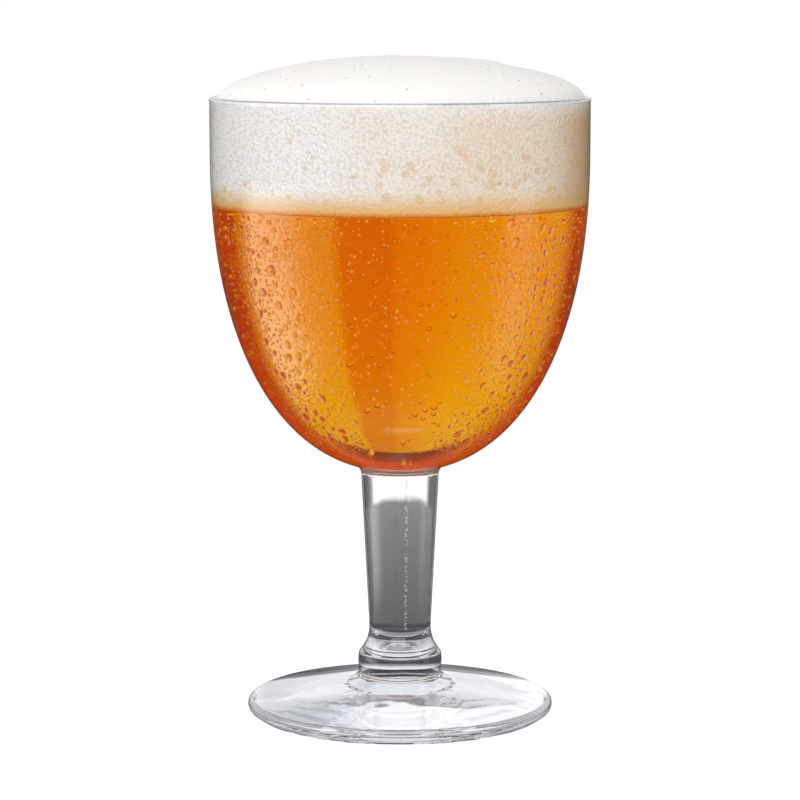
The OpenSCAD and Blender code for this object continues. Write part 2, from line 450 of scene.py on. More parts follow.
@dataclass(frozen=True)
class CreamyFoam(Finish):
    """Fine beer froth: packed bubbles that scatter light softly, with amber showing through large ones."""

    beer_line: float
    rim: float
    name: str = "creamy_foam"
    froth: str = "#F8F6F3"
    warm_froth: str = "#F4E1CD"
    bubble: str = "#E2B47C"
    side_amber_light: str = "#E6BC92"
    wet_froth: str = "#EDBE7E"
    wet_edge: str = "#E87C0A"
    crease_shade: str = "#BFAE9B"
    pore_shade: str = "#A8A49D"
    cell: float = 0.72 * MM
    cell_height: float = 0.21 * MM
    crease_span: Span = Span(0.35, 0.85, 0.0, 0.3)
    dome_relief: float = 0.24
    bubble_spacing: float = 2.6 * MM
    bubble_reach: float = 21 * MM
    bubble_share: tuple[float, float] = (1.2, -0.05)
    bubble_lean: Span = Span(-28 * MM, 12 * MM, 0.4, 1.15)
    bubble_size: Span = Span(0.0, 1.0, 0.24, 0.52)
    bubble_edge: Span = Span(-0.05, 0.15)
    bubble_depth: tuple[float, float] = (0.5, 0.3)
    bubble_low: float = 3 * MM
    pore_spacing: float = 1.7 * MM
    pore_size: Span = Span(0.25, 1.0, 0.0, 0.22)
    pore_edge: Span = Span(0.0, 0.05, 0.0, 0.85)
    pore_rise: float = 0.5 * MM
    warm_spacing: float = 26 * MM
    warm_light_lean: float = 110 * MM
    warm_span: Span = Span(0.2, 0.85)
    warm_drop: float = 5 * MM
    side_light_span: Span = Span(33 * MM, 43 * MM)
    wet_depth: float = 3.4 * MM
    wet_ragged: float = 0.5 * MM
    damp_reach: tuple[float, float] = (1.9, 0.25)
    wet_reach: tuple[float, float] = (0.45, 0.0)
    roughness: float = 0.85
    ior: float = 1.33
    gloss: float = 0.25
    scatter_share: float = 0.2
    scatter: tuple[float, float, float] = (1.0, 0.8, 0.6)
    scatter_depth: float = 0.35 * MM

    def froth_colour(self, graph: Graph, point: Flow, across: Flow, height: Flow) -> Flow:
        """Colour the froth: cool drifts and warm ones at random, with painted warm light to the right and
        painted amber light on its right side.

        Args:
            graph: graph of the finish.
            point: point on the foam.
            across: how far right it lies.
            height: its height.

        Returns:
            Colour of the froth.
        """
        drift = graph.add("TexNoise", {"Vector": point, "Scale": 1 / self.warm_spacing, "Detail": 2.0})
        lean = graph.add("Math", [across, 1 / self.warm_light_lean, drift], operation="MULTIPLY_ADD")
        below = graph.add("MapRange", [height, self.rim, self.rim - self.warm_drop])
        colour = linear(self.froth)
        for value, span, code in (
            # Warm drifts at random, with painted warm light that leans to the right
            (lean, self.warm_span, self.warm_froth),
            # Painted amber light on the right side
            (across, self.side_light_span, self.side_amber_light),
        ):
            warmth = graph.add("MapRange", [value, *span], interpolation_type=EASED)
            tones = {0: graph.all_of(warmth, below), 6: colour, 7: linear(code)}
            colour = graph.add("Mix", tones, data_type="RGBA")
        return colour

    def bubbles(self, graph: Graph, point: Flow, across: Flow, height: Flow) -> Flow:
        """Scatter larger bubbles against the glass, more of them near the beer and to the right.

        Args:
            graph: graph of the finish.
            point: point on the foam.
            across: how far right it lies.
            height: its height.

        Returns:
            How much a point lies in a bubble.
        """
        inside, chance = graph.discs(point, self.bubble_spacing, self.bubble_size)
        disc = graph.add("MapRange", [inside, *self.bubble_edge], interpolation_type=EASED)
        top = self.beer_line + self.bubble_reach
        share = graph.add("MapRange", [height, self.beer_line, top, *self.bubble_share])
        lean = graph.add("MapRange", [across, *self.bubble_lean])
        there = graph.add("Math", [chance, graph.all_of(share, lean)], operation="LESS_THAN")
        depth = graph.add("MapRange", [height, self.beer_line + self.bubble_low, top, *self.bubble_depth])
        return graph.all_of(disc, depth, there)

    def pores(self, graph: Graph, point: Flow, height: Flow) -> Flow:
        """Open small pores on the dome, darkened with painted shade.

        Args:
            graph: graph of the finish.
            point: point on the foam.
            height: its height.

        Returns:
            How much a point lies in a pore.
        """
        inside, _ = graph.discs(point, self.pore_spacing, self.pore_size)
        pore_shade = graph.add("MapRange", [inside, *self.pore_edge])
        return graph.all_of(pore_shade, graph.add("MapRange", [height, self.rim, self.rim + self.pore_rise]))

    def paint(self, graph: Graph) -> dict:
        """Build the finish.

        Args:
            graph: graph of the material.

        Returns:
            Its surface.
        """
        point = graph.add("TexCoord").outputs["Object"]
        across, _, height = graph.add("SeparateXYZ", [point]).outputs
        cells = graph.add("TexVoronoi", {"Vector": point, "Scale": 1 / self.cell})
        # Relief of the imported cells, gentler on the dome, with painted shade in the creases between them
        relief = graph.add("MapRange", [height, self.rim - MM, self.rim + MM, 1.0, self.dome_relief])
        shaded_creases = graph.add("MapRange", [cells, *self.crease_span], interpolation_type=EASED)
        # Beer stands between the lowest bubbles
        ragged = graph.add("Math", [cells, self.wet_ragged, height], operation="MULTIPLY_ADD")
        damp, wet = [
            graph.add("MapRange", [ragged, *(self.beer_line + share * self.wet_depth for share in reach)],
                      interpolation_type=EASED)
            for reach in (self.damp_reach, self.wet_reach)]
        colour = self.froth_colour(graph, point, across, height)
        for share, code in (
            (graph.all_of(shaded_creases, relief), self.crease_shade),
            (self.bubbles(graph, point, across, height), self.bubble),
            (damp, self.wet_froth),
            (wet, self.wet_edge),
            # Painted shade in the pores of the dome
            (self.pores(graph, point, height), self.pore_shade),
        ):
            colour = graph.add("Mix", {0: share, 6: colour, 7: linear(code)}, data_type="RGBA")
        packed = {"Height": cells, "Distance": self.cell_height, "Strength": relief}
        return {"Surface": graph.add("BsdfPrincipled", {
            "Base Color": colour, "Normal": graph.add("Bump", packed, invert=True),
            "Roughness": self.roughness, "IOR": self.ior, "Specular IOR Level": self.gloss,
            "Subsurface Weight": self.scatter_share, "Subsurface Radius": self.scatter,
            "Subsurface Scale": self.scatter_depth,
        })}


@dataclass(frozen=True)
class FrothUnderside(Finish):
    """The underside of the froth, with painted light: it glows as if passing on light that has come down
    through the head.
    """

    name: str = "froth_underside_painted_glow"
    colour: str = "#8A5A2A"
    glow: str = "#E6B866"
    painted_core_glow: str = "#2C1606"
    core_span: Span = Span(15 * MM, 25 * MM)
    wall_span: Span = Span(43 * MM, 39 * MM, 0.45)

    def paint(self, graph: Graph) -> dict:
        """Build the finish, a painted glow that is darkest in the middle and a little darker at the wall.

        Args:
            graph: graph of the material.

        Returns:
            Its surface.
        """
        point = graph.add("TexCoord").outputs["Object"]
        level = graph.add("VectorMath", [point, (1, 1, 0)], operation="MULTIPLY")
        away = graph.add("VectorMath", [level], operation="LENGTH")
        # Painted light: the underside glows, dimmest in the middle and a little dimmer at the wall
        painted_glows = {0: graph.within(away, self.core_span, self.wall_span),
                 6: linear(self.painted_core_glow), 7: linear(self.glow)}
        return {"Surface": graph.add("BsdfPrincipled", {
            "Base Color": linear(self.colour), "Roughness": 1.0, "Specular IOR Level": 0.0,
            "Emission Color": graph.add("Mix", painted_glows, data_type="RGBA"), "Emission Strength": 1.0,
        })}


def arc(centre: tuple[float, float], radius: float, start: float, end: float, steps: int) -> Outline:
    """Points of an arc in a half outline.

    Args:
        centre: its centre, as radius and height.
        radius: its radius.
        start: first angle in degrees, counted from outwards to up.
        end: last angle in degrees.
        steps: number of chords.

    Returns:
        Points from start to end.
    """
    angles = [math.radians(start + (end - start) * i / steps) for i in range(steps + 1)]
    return [(centre[0] + radius * math.cos(a), centre[1] + radius * math.sin(a)) for a in angles]


def turned(outline: Outline, steps: int = TURN_STEPS) -> bmesh.types.BMesh:
    """Turn a half outline about the vertical axis into a skin with merged poles.

    Args:
        outline: points as radius and height.
        steps: steps of the full turn.

    Returns:
        The mesh, with its faces pointing outwards.
    """
    mesh = bmesh.new()
    points = [mesh.verts.new((radius, 0.0, height)) for radius, height in outline]
    edges = [mesh.edges.new(pair) for pair in zip(points, points[1:])]
    bmesh.ops.spin(mesh, geom=points + edges, axis=(0, 0, 1), cent=(0, 0, 0), angle=math.tau, steps=steps,
                   use_merge=True)
    bmesh.ops.remove_doubles(mesh, verts=mesh.verts, dist=WELD)
    bmesh.ops.recalc_face_normals(mesh, faces=mesh.faces)
    return mesh


def finished(mesh: bmesh.types.BMesh, name: str, materials: Sequence[bpy.types.Material],
             sharp: float = 35.0) -> bpy.types.Object:
    """Make an object of a mesh, smooth but for its sharp edges.

    Args:
        mesh: the mesh, which is freed.
        name: name of the piece.
        materials: its materials, in the order of the faces' numbers.
        sharp: edges that turn by more degrees than this stay crisp.

    Returns:
        The object, at the origin.
    """
    data = bpy.data.meshes.new(name)
    mesh.to_mesh(data)
    mesh.free()
    for material in materials:
        data.materials.append(material)
    data.shade_smooth()
    data.set_sharp_from_angle(angle=math.radians(sharp))
    piece = bpy.data.objects.new(name, data)
    bpy.context.scene.collection.objects.link(piece)
    return piece


def seat(piece: bpy.types.Object, body: Body, node: str) -> bpy.types.Object:
    """Make a piece ride on its body in place of its node, and log it.

    Args:
        piece: the piece.
        body: body that it moves with.
        node: node that it stands for.

    Returns:
        The piece.
    """
    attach(piece, body.value)
    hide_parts(node)
    LOG.info("%s rides on %s, %d faces", piece.name, body.value, len(piece.data.polygons))
    return piece


def mark_level_faces(mesh: bmesh.types.BMesh, number: int, *heights: float) -> None:
    """Give the level faces at some heights a material number.

    Args:
        mesh: mesh that holds them.
        number: material number to give.
        heights: their heights.
    """
    for face in mesh.faces:
        if any(all(abs(vertex.co.z - height) < WELD for vertex in face.verts) for height in heights):
            face.material_index = number


@dataclass
class Foot:
    """The pressed foot: a shallow cone with a rolled edge, a bearing ring and a faceted recess below."""

    edge_height: float = 3.2 * MM
    ring_height: float = 0.5 * MM
    ring_inset: float = 1.8 * MM
    seat_radius: float = 9.9 * MM
    fillet: float = 1.4 * MM
    ring_width: float = 0.9 * MM
    hollow: float = 3.4 * MM
    mouth_radius: float = 11.9 * MM
    ceiling_radius: float = 6.6 * MM
    recess: float = 1.7 * MM
    land: float = 1.0 * MM
    flats: int = 16
    flat_rise: tuple[float, float] = (0.2, 0.8)
    crisp: float = 6.0

    def outline(self, radius: float, top: float) -> Outline:
        """Half outline from the seat under the knop out over the edge and in to the bearing ring.

        Args:
            radius: outside radius of the foot.
            top: height of its seat.

        Returns:
            Points as radius and height.
        """
        roll = self.edge_height / 2
        roll_centre = (radius - roll, self.ring_height + roll)
        fillet_x = self.seat_radius + self.fillet
        low = (fillet_x, top - self.fillet)
        slope = math.degrees(math.atan2(low[1] - roll_centre[1] - roll, roll_centre[0] - low[0]))
        ring = radius - self.ring_inset
        ring_angle = -math.degrees(math.acos((ring - roll_centre[0]) / roll))
        return [
            (0.0, top),
            *arc((fillet_x, top), self.fillet, 180, 270 - slope, 16),
            *arc(roll_centre, roll, 90 - slope, ring_angle, 40),
            (ring, 0.0),
            (ring - self.ring_width, 0.0),
            (self.mouth_radius + self.land, self.hollow),
        ]

    def build(self, *finishes: bpy.types.Material) -> bpy.types.Object:
        """Turn the foot and press the recess into its hollow underside.

        Args:
            finishes: of the glass, the fused seat and the recess's flats.

        Returns:
            The piece.
        """
        _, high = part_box("foot")
        mesh = turned(self.outline(high[0], high[2]))
        mark_level_faces(mesh, Faces.SEAT, high[2])
        rim = [edge for edge in mesh.edges if edge.is_boundary]
        mouth = bmesh.ops.create_circle(
            mesh, segments=self.flats, radius=self.mouth_radius,
            matrix=Matrix.Translation((0, 0, self.hollow)))["verts"]
        ceiling = bmesh.ops.create_circle(
            mesh, segments=self.flats, radius=self.ceiling_radius, cap_ends=True,
            matrix=Matrix.Translation((0, 0, self.hollow + self.recess)))["verts"]
        mouth_edges = {edge for vertex in mouth for edge in vertex.link_edges}
        ceiling_edges = {edge for vertex in ceiling for edge in vertex.link_edges}
        bmesh.ops.bridge_loops(mesh, edges=rim + list(mouth_edges))
        bmesh.ops.bridge_loops(mesh, edges=list(mouth_edges | ceiling_edges))
        bmesh.ops.recalc_face_normals(mesh, faces=mesh.faces)
        # The flats of the recess take the greyer finish: painted shade
        low, high = self.flat_rise
        for face in mesh.faces:
            middle = face.calc_center_median()
            if middle.xy.length < self.mouth_radius and low < (middle.z - self.hollow) / self.recess < high:
                face.material_index = Faces.SPECIAL
        return seat(finished(mesh, "foot_glass", finishes, self.crisp), Body.GLASS, "foot")


@dataclass
class Knop:
    """The flared collar: an upright band with a slight bulge, hollowed up into the stem."""

    band_height: float = 4.6 * MM
    bulge: float = 0.2 * MM
    neck_radius: float = 7.4 * MM
    shoulder_round: float = 0.25 * MM
    crisp: float = 40.0

    def build(self, *finishes: bpy.types.Material) -> bpy.types.Object:
        """Turn the knop and round its shoulder.

        Args:
            finishes: of the glass and the fused ends.

        Returns:
            The piece.
        """
        low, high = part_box("knop")
        edge_radius = high[0] - self.bulge
        shoulder = low[2] + self.band_height
        half = self.band_height / 2
        band_radius = (half ** 2 + self.bulge ** 2) / (2 * self.bulge)
        swing = math.degrees(math.asin(half / band_radius))
        width = edge_radius - self.neck_radius
        rise = high[2] - shoulder
        flare = (width ** 2 + rise ** 2) / (2 * width)
        sweep = math.degrees(math.asin(rise / flare))
        mesh = turned([
            (0.0, low[2]),
            *arc((high[0] - band_radius, low[2] + half), band_radius, -swing, swing, 8),
            *arc((self.neck_radius + flare, high[2]), flare, 180 + sweep, 180, 14)[1:],
            (0.0, high[2]),
        ])
        ring = [e for e in mesh.edges if all(abs(v.co.z - shoulder) < WELD for v in e.verts)]
        bmesh.ops.bevel(mesh, geom=ring, offset=self.shoulder_round, offset_type="OFFSET", affect="EDGES",
                        segments=4, profile=0.5, material=-1)
        mark_level_faces(mesh, Faces.SEAT, low[2], high[2])
        return seat(finished(mesh, "knop_glass", finishes, self.crisp), Body.GLASS, "knop")


@dataclass
class Stem:
    """The solid tapered stem, with the two fine seams of its mould."""

    neck_radius: float = 7.4 * MM
    top_radius: float = 9.3 * MM
    seam_azimuths: tuple[float, float] = (-80.0, 100.0)
    seam_proud: float = 0.1 * MM
    seam_match: float = 0.99999
    rings: int = 24
    crisp: float = 40.0

    def build(self, *finishes: bpy.types.Material) -> bpy.types.Object:
        """Turn the taper and pull up the seams.

        Args:
            finishes: of the glass, the fused ends and the front seam.

        Returns:
            The piece.
        """
        low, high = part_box("stem")
        steps = [i / self.rings for i in range(self.rings + 1)]
        side = [(self.neck_radius + (self.top_radius - self.neck_radius) * t, low[2] + (high[2] - low[2]) * t)
                for t in steps]
        mesh = turned([(0.0, low[2]), *side, (0.0, high[2])])
        for azimuth in self.seam_azimuths:
            way = Vector((math.cos(math.radians(azimuth)), math.sin(math.radians(azimuth)), 0.0))
            seam = [v for v in mesh.verts
                    if v.co.xy.length > self.neck_radius / 2
                    and v.co.xy.normalized().dot(way.xy) > self.seam_match
                    and low[2] + WELD < v.co.z < high[2] - WELD]
            bmesh.ops.translate(mesh, verts=seam, vec=way * self.seam_proud)
            # The rear seam came out clean
            if azimuth == self.seam_azimuths[0]:
                for face in {face for vertex in seam for face in vertex.link_faces}:
                    face.material_index = Faces.SPECIAL
        mark_level_faces(mesh, Faces.SEAT, low[2], high[2])
        return seat(finished(mesh, "stem_glass", finishes, self.crisp), Body.GLASS, "stem")


@dataclass(frozen=True)
class CupCurve:
    """A rounded cup in half outline, upright at its top and level at its bottom."""

    radius: float
    depth: float
    top: float
    fullness: float

    def share(self, height: float) -> float:
        """Share of the depth that a height lies below the top."""
        return min(1.0, max(0.0, (self.top - height) / self.depth))

    def reach(self, height: float) -> float:
        """Radius at a height."""
        return self.radius * (1 - self.share(height) ** self.fullness) ** (1 / self.fullness)

    def height(self, radius: float) -> float:
        """Height at a radius."""
        return self.top - self.depth * (1 - (radius / self.radius) ** self.fullness) ** (1 / self.fullness)

    def dip(self, height: float) -> float:
        """Angle of the outward normal below the horizontal.

        Args:
            height: height on the curve.

        Returns:
            The angle in radians.
        """
        power = self.fullness - 1
        down = self.share(height) ** power / self.depth
        out = (self.reach(height) / self.radius) ** power / self.radius
        return math.atan2(down, out)

    def grown(self, spread: float) -> CupCurve:
        """The same curve, grown all round by a spread."""
        return replace(self, radius=self.radius + spread, depth=self.depth + spread)

    def points(self, first: float, last: float, steps: int) -> Outline:
        """Points of the curve between two heights.

        Args:
            first: height of the first point.
            last: height of the last point.
            steps: number of chords.

        Returns:
            Points as radius and height.
        """
        ends = [math.asin(self.share(height) ** (self.fullness / 2)) for height in (first, last)]
        angles = [ends[0] + (ends[1] - ends[0]) * i / steps for i in range(steps + 1)]
        power = 2 / self.fullness
        return [(self.radius * max(0.0, math.cos(a)) ** power, self.top - self.depth * math.sin(a) ** power)
                for a in angles]


@dataclass
class Bowl:
    """The blown bowl: a thin rounded cup with a fire-polished rim, drawn in to a stub over the stem."""

    fullness: float = 2.27
    curve_height: float = 77.0 * MM
    wall: float = 1.3 * MM
    floor: float = 1.7 * MM
    floor_radius: float = 9.3 * MM
    bead: float = 1.5 * MM
    stub_radius: float = 9.3 * MM
    fillet: float = 2.3 * MM
    polish: float = 0.28
    curve_steps: int = 60
    crisp: float = 12.0

    def __post_init__(self) -> None:
        """Take the bowl's place from the frame."""
        low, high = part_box("bowl")
        self.bottom: float = low[2]
        self.rim: float = high[2]
        radius = high[0] - (self.bead - self.wall) / 2
        level = CupCurve(radius, self.curve_height, self.curve_height, self.fullness)
        self.run_out: float = level.height(self.stub_radius + self.fillet)
        self.run_dip: float = level.dip(self.run_out)
        lowest = self.bottom + self.fillet / math.sin(self.run_dip) - self.run_out
        self.outer: CupCurve = replace(level, top=lowest + self.curve_height)
        inner = replace(self.outer, radius=radius - self.wall, depth=self.curve_height - self.floor)
        # The curve runs a little deeper than the level floor that cuts it off
        self.floor_height: float = inner.top - inner.depth
        spare = inner.height(self.floor_radius) - self.floor_height
        self.inner: CupCurve = replace(inner, depth=inner.depth + spare)

    def build(self, *finishes: bpy.types.Material) -> bpy.types.Object:
        """Turn the bowl.

        Args:
            finishes: of the glass, the fused stub, the wet inside, the rim's edge and the level floor.

        Returns:
            The piece.
        """
        neck = arc((self.stub_radius + self.fillet, self.bottom), self.fillet, 180,
                   180 - math.degrees(self.run_dip), 8)
        bead_centre = (self.outer.radius - self.wall / 2, self.rim - self.bead / 2)
        bead_turn = math.degrees(math.acos(self.wall / self.bead))
        floor = self.floor_height
        mesh = turned([
            (0.0, self.bottom),
            *neck,
            *self.outer.points(neck[-1][1], self.outer.top, self.curve_steps)[1:],
            *arc(bead_centre, self.bead / 2, -bead_turn, 180 + bead_turn, 20),
            *self.inner.points(self.inner.top, floor, self.curve_steps),
            (0.0, floor),
        ])
        mark_level_faces(mesh, Faces.SEAT, self.bottom)
        mark_level_faces(mesh, Faces.CLOUDED, floor)
        for face in mesh.faces:
            spot = face.calc_center_median()
            inside = spot.xy.length < (self.inner.reach(spot.z) + self.outer.reach(spot.z)) / 2
            if inside and floor - WELD < spot.z < self.inner.top + WELD and not face.material_index:
                face.material_index = Faces.SPECIAL
            if spot.z > self.rim - self.polish * self.bead:
                face.material_index = Faces.POLISHED
        return seat(finished(mesh, "bowl_glass", finishes, self.crisp), Body.GLASS, "bowl")


@dataclass
class Beer:
    """The beer, wetting the inside of the bowl up to the beer line."""

    sag: float = 0.3 * MM
    climb: float = 1.5 * MM
    creep: tuple[tuple[float, float], ...] = ((2.0, 1.0), (1.0, 0.85), (1 / 3, 0.4))
    curve_steps: int = 60
    crisp: float = 12.0

    def surface(self, edge: float, line: float) -> Outline:
        """Half outline of the surface, from the axis to just short of the wall.

        Args:
            edge: radius of the wall at the beer line.
            line: height of the beer line.

        Returns:
            Points as radius and height.
        """
        rise = [(edge - inset * self.climb, line - depth * self.sag) for inset, depth in self.creep]
        return [(0.0, line - self.sag), *rise]

    def build(self, bowl: Bowl, liquid: bpy.types.Material) -> bpy.types.Object:
        """Turn the beer to the cavity of the bowl, with its surface drawn up the wall a little.

        Args:
            bowl: bowl that holds it.
            liquid: finish of the beer.

        Returns:
            The piece.
        """
        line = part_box("beer")[1][2]
        wet = bowl.inner.grown(WETTING)
        mesh = turned([
            *self.surface(wet.reach(line), line),
            *wet.points(line, bowl.floor_height - WETTING, self.curve_steps),
            (0.0, bowl.floor_height - WETTING),
        ])
        return seat(finished(mesh, "beer_liquid", [liquid], self.crisp), Body.BEER, "beer")


@dataclass
class FoamHead:
    """The head of foam, from the beer line up to the rim and in a low dome above it."""

    sink: float = 0.03 * MM
    underside: float = 0.1 * MM
    dome_drop: float = 1.6 * MM
    turn_steps: int = 240
    wall_steps: int = 30
    dome_steps: int = 50
    lean: float = 0.35
    swell_spacing: float = 24 * MM
    swell: float = 0.4 * MM
    lump_spacing: float = 6 * MM
    lump: float = 0.12 * MM
    fold_way: tuple[float, float, float] = (0.93, 0.37, 0.0)
    fold_distance: float = 23.3 * MM
    fold_width: float = 1.5 * MM
    fold_depth: float = 0.6 * MM
    fold_bend: float = 35 * MM
    fold_reach: tuple[float, float] = (8 * MM, 30 * MM)
    crisp: float = 50.0

    def fall(self, spot: Vector) -> float:
        """How far the dome lies below its plain form at a point: soft swellings, lumps and one slack fold.

        Args:
            spot: point of the plain dome.

        Returns:
            The fall.
        """
        swell = (1 - noise.noise(spot / self.swell_spacing)) / 2 * self.swell
        lump = (1 - noise.noise(spot / self.lump_spacing)) / 2 * self.lump
        along = self.fold_way[0] * spot.y - self.fold_way[1] * spot.x
        bent = spot.dot(Vector(self.fold_way)) + along * along / (2 * self.fold_bend)
        past = min(1.0, max(0.0, (bent - self.fold_distance) / self.fold_width + 0.5))
        start, end = self.fold_reach
        left = min(1.0, max(0.0, (end - abs(along)) / (end - start)))
        return swell + lump + past * past * (3 - 2 * past) * left * self.fold_depth

    def build(self, bowl: Bowl, beer: Beer, froth: bpy.types.Material,
              underside: bpy.types.Material) -> bpy.types.Object:
        """Turn the head, let its dome lean to the right and swell unevenly.

        Args:
            bowl: bowl that holds it.
            beer: beer that it lies on.
            froth: finish of the foam.
            underside: finish of its face on the beer.

        Returns:
            The piece.
        """
        _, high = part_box("foam_head")
        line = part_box("beer")[1][2]
        wet = bowl.inner.grown(WETTING)
        base = bowl.rim - self.dome_drop
        heights = [line + (base - line) * i / self.wall_steps for i in range(self.wall_steps)]
        side = [(wet.reach(height), height) for height in heights]
        dome_height = high[2] - base
        dome = [(wet.radius * math.cos(a), base + dome_height * math.sin(a))
                for a in (math.pi / 2 * i / self.dome_steps for i in range(self.dome_steps + 1))]
        bottom = [(radius, height - self.sink) for radius, height in beer.surface(side[0][0], line)]
        mesh = turned([*bottom, *side, *dome], self.turn_steps)
        for vertex in mesh.verts:
            lift = (vertex.co.z - base) / dome_height
            if lift > WELD:
                fullness = 2 + self.lean * max(0.0, vertex.co.x / wet.radius)
                reach = min(1.0, vertex.co.xy.length / wet.radius)
                fall = self.fall(vertex.co) * min(1.0, 2 * lift)
                vertex.co.z = base + dome_height * (1 - reach ** fullness) ** (1 / fullness) - fall
        for face in mesh.faces:
            if face.calc_center_median().z < line - self.underside:
                face.material_index = Faces.SEAT
        piece = finished(mesh, "foam_froth", [froth, underside], self.crisp)
        return seat(piece, Body.FOAM, "foam_head")


@dataclass
class Condensation:
    """Beads of water on the outside of the bowl: many fine ones, some larger, crowded in drifts."""

    count: int = 4000
    smallest: float = 0.45 * MM
    largest: float = 2.7 * MM
    fineness: float = 2.3
    low: float = 7.5 * MM
    high: float = 63.5 * MM
    flatness: float = 0.4
    seed: int = 11
    drifts: tuple[tuple[float, float, float], ...] = (
        (-37.0, 19.0, 1.0), (41.0, 22.0, 0.85), (143.0, 22.0, 0.4), (217.0, 19.0, 0.4))
    sparse: float = 0.06
    bare: float = 0.93
    tries: int = 12
    sparse_size: float = 0.35
    stretch: float = 0.9
    stretch_size: float = 2.5
    slant: float = 0.9
    apart: float = 1.05
    wall_curve: float = 50 * MM
    fine_size: float = 1.2 * MM
    fine_faces: tuple[int, int] = (12, 6)
    coarse_faces: tuple[int, int] = (7, 4)
    crisp: float = 60.0

    def crowd(self, azimuth: float) -> float:
        """Chance that a bead settles at an azimuth: highest in four drifts round the bowl, none at its sides.

        Args:
            azimuth: direction from the axis.

        Returns:
            The chance.
        """
        if abs(math.cos(azimuth)) > self.bare:
            return 0.0
        front = math.degrees(azimuth) + 90
        return max(self.sparse, *(thickness * math.exp(-(((front - drift + 180) % 360 - 180) / width) ** 4)
                                  for drift, width, thickness in self.drifts))

    def bead(self, sides: int, rings: int) -> bpy.types.Mesh:
        """Model one bead, a cap of a ball of unit radius on a flat base.

        Args:
            sides: number of faces round it.
            rings: number of faces from pole to pole of the ball.

        Returns:
            The mesh that beads are copies of.
        """
        mesh = bmesh.new()
        bmesh.ops.create_uvsphere(mesh, u_segments=sides, v_segments=rings, radius=1.0)
        cut = bmesh.ops.bisect_plane(mesh, geom=mesh.verts[:] + mesh.edges[:] + mesh.faces[:], dist=1e-5,
                                     plane_co=(0, 0, 0), plane_no=(0, 0, 1), clear_inner=True)
        rim = [item for item in cut["geom_cut"] if isinstance(item, bmesh.types.BMEdge)]
        bmesh.ops.contextual_create(mesh, geom=rim)
        bmesh.ops.recalc_face_normals(mesh, faces=mesh.faces)
        data = bpy.data.meshes.new("bead")
        mesh.to_mesh(data)
        mesh.free()
        return data

    def build(self, bowl: Bowl, water: bpy.types.Material) -> bpy.types.Object:
        """Scatter the beads over the bowl with no two touching.

        Args:
            bowl: bowl that they sit on.
            water: finish of the beads.

        Returns:
            The piece.
        """
        draw = random.Random(self.seed)
        fine, coarse = self.bead(*self.fine_faces), self.bead(*self.coarse_faces)
        mesh = bmesh.new()
        taken: dict[tuple[int, int, int], list[tuple[Vector, float]]] = {}
        made = 0
        for _ in range(self.count * self.tries):
            if made >= self.count:
                break
            height = bowl.outer.top - bowl.outer.depth + draw.uniform(self.low, self.high)
            azimuth = draw.uniform(-math.pi, math.pi)
            crowd = self.crowd(azimuth)
            limit = self.largest * max(self.sparse_size, crowd)
            size = self.smallest + (limit - self.smallest) * draw.random() ** self.fineness
            longest = self.stretch * min(1.0, size / self.largest * self.stretch_size)
            stretch = 1.0 + draw.random() ** 2 * longest
            turn = draw.uniform(-self.slant, self.slant)
            if draw.random() > crowd:
                continue
            way = Vector((math.cos(azimuth), math.sin(azimuth), 0.0))
            spot = way * bowl.outer.reach(height) + Vector((0, 0, height))
            half = size / 2
            key = tuple(math.floor(c / self.largest) for c in spot)
            near = [item for dx in (-1, 0, 1) for dy in (-1, 0, 1) for dz in (-1, 0, 1)
                    for item in taken.get((key[0] + dx, key[1] + dy, key[2] + dz), ())]
            if any((spot - other).length < (half * stretch + reach) * self.apart for other, reach in near):
                continue
            taken.setdefault(key, []).append((spot, half * stretch))
            sink = WETTING + half * half / self.wall_curve
            place = (Matrix.Translation(spot)
                     @ Matrix.Rotation(azimuth, 4, "Z")
                     @ Matrix.Rotation(math.pi / 2 + bowl.outer.dip(height), 4, "Y")
                     @ Matrix.Translation((0, 0, -sink))
                     @ Matrix.Rotation(turn, 4, "Z")
                     @ Matrix.Diagonal((half * stretch, half, 2 * half * self.flatness, 1.0)))
            copy = (fine if size > self.fine_size else coarse).copy()
            copy.transform(place)
            mesh.from_mesh(copy)
            bpy.data.meshes.remove(copy)
            made += 1
        for pattern in (fine, coarse):
            bpy.data.meshes.remove(pattern)
        piece = finished(mesh, "condensation_beads", [water], self.crisp)
        return seat(piece, Body.GLASS, "condensation")


def blurred(edge: float, blur: float) -> Span:
    """Span across an edge that is blurred by a share of its distance."""
    return Span(edge * (1 + blur), edge * (1 - blur))


